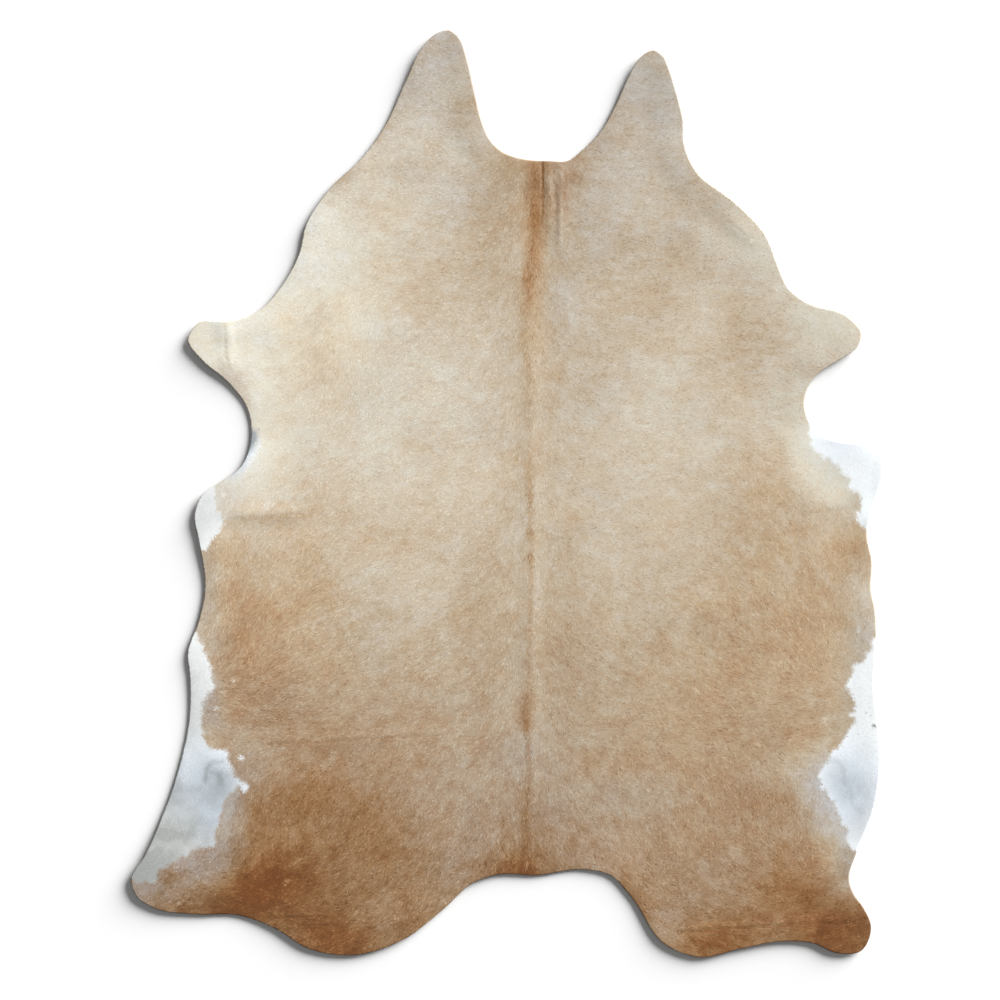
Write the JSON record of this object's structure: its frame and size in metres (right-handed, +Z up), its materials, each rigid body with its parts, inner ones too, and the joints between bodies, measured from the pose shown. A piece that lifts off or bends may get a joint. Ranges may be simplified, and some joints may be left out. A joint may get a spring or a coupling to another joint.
{
  "type": "hair-on cowhide rug",
  "caption": "Trimmed hair-on cowhide laid flat as a floor rug: one thin sheet with two neck lobes, short foreleg ends, belly flaps, rounded hind ends and a slightly lifted edge.",
  "frame": {"origin": "on the floor, under the middle of the hide's box", "axes": "+Z up out of the hair side, +Y from the rump to the neck, +X to the hide's right when the hair side is seen with the neck at the top"},
  "size_m": [1.7996, 2.2196, 0.0179],
  "materials": {
    "coat": "short flat-lying beige hair with a soft sheen, rust along the spine, white at the belly edges",
    "skin": "pale sueded flesh side and cut edge"
  },
  "bodies": {
    "root": {"hide": "coat"}
  },
  "joints": []
}
